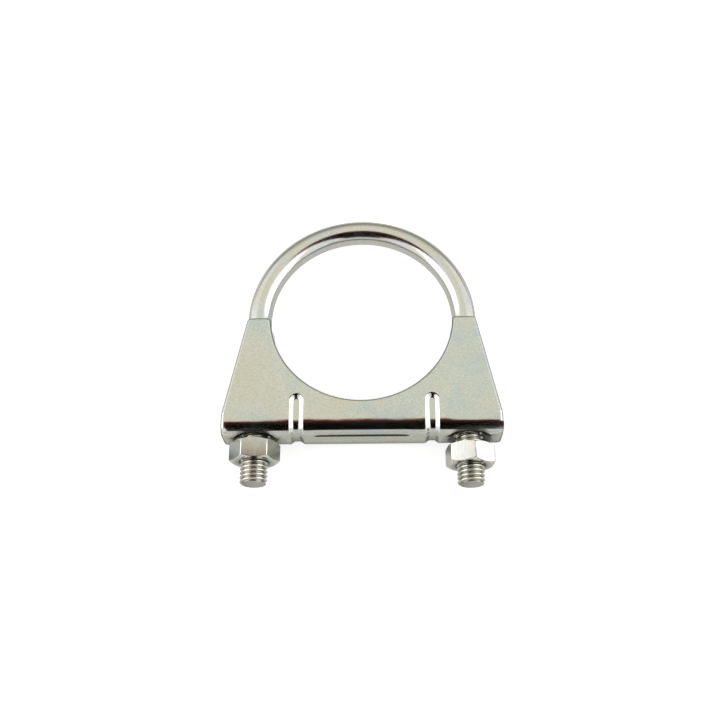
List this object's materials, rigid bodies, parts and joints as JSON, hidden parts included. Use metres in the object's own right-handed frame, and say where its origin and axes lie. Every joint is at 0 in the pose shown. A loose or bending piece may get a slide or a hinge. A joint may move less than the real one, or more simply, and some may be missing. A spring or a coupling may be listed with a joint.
{
  "type": "exhaust u-bolt clamp",
  "caption": "Exhaust pipe clamp: a bent rod with threaded ends passes through a folded saddle with a round notch, and hex nuts draw the two together round the pipe.",
  "frame": {"origin": "centre of the saddle's pipe notch, half way between the two cheeks", "axes": "+Z along the pipe, out of the front cheek; +Y towards the bow, away from the nuts; +X to the right with Z towards the eye"},
  "size_m": [0.0804, 0.0857, 0.0146],
  "materials": {
    "zinc_sheet": "bright zinc plate, satin, with faint passivation colours",
    "zinc_rod": "bright zinc plate on drawn rod, glossy",
    "zinc_nut": "bright zinc plate, satin"
  },
  "bodies": {
    "saddle": {"saddle": "zinc_sheet"},
    "u_bolt": {"u_bolt": "zinc_rod"},
    "nut_left": {"nut_left": "zinc_nut"},
    "nut_right": {"nut_right": "zinc_nut"}
  },
  "joints": [
    {"name": "nut_left_turn", "type": "hinge", "parent": "saddle", "child": "nut_left", "pos_m": [-0.03085, -0.041, 0], "axis": [0, 1, 0], "range_deg": [-2160, 4608]},
    {"name": "nut_right_turn", "type": "hinge", "parent": "saddle", "child": "nut_right", "pos_m": [0.03085, -0.0424, 0], "axis": [0, 1, 0], "range_deg": [-2160, 4608]},
    {"name": "u_bolt_slide", "type": "slide", "parent": "saddle", "child": "u_bolt", "axis": [0, -1, 0], "range_m": [-0.0075, 0.016]}
  ],
  "couplings": [
    {"joint": "nut_left_turn", "follows": "u_bolt_slide", "rad_per_m": 5026.5},
    {"joint": "nut_right_turn", "follows": "u_bolt_slide", "rad_per_m": 5026.5}
  ]
}
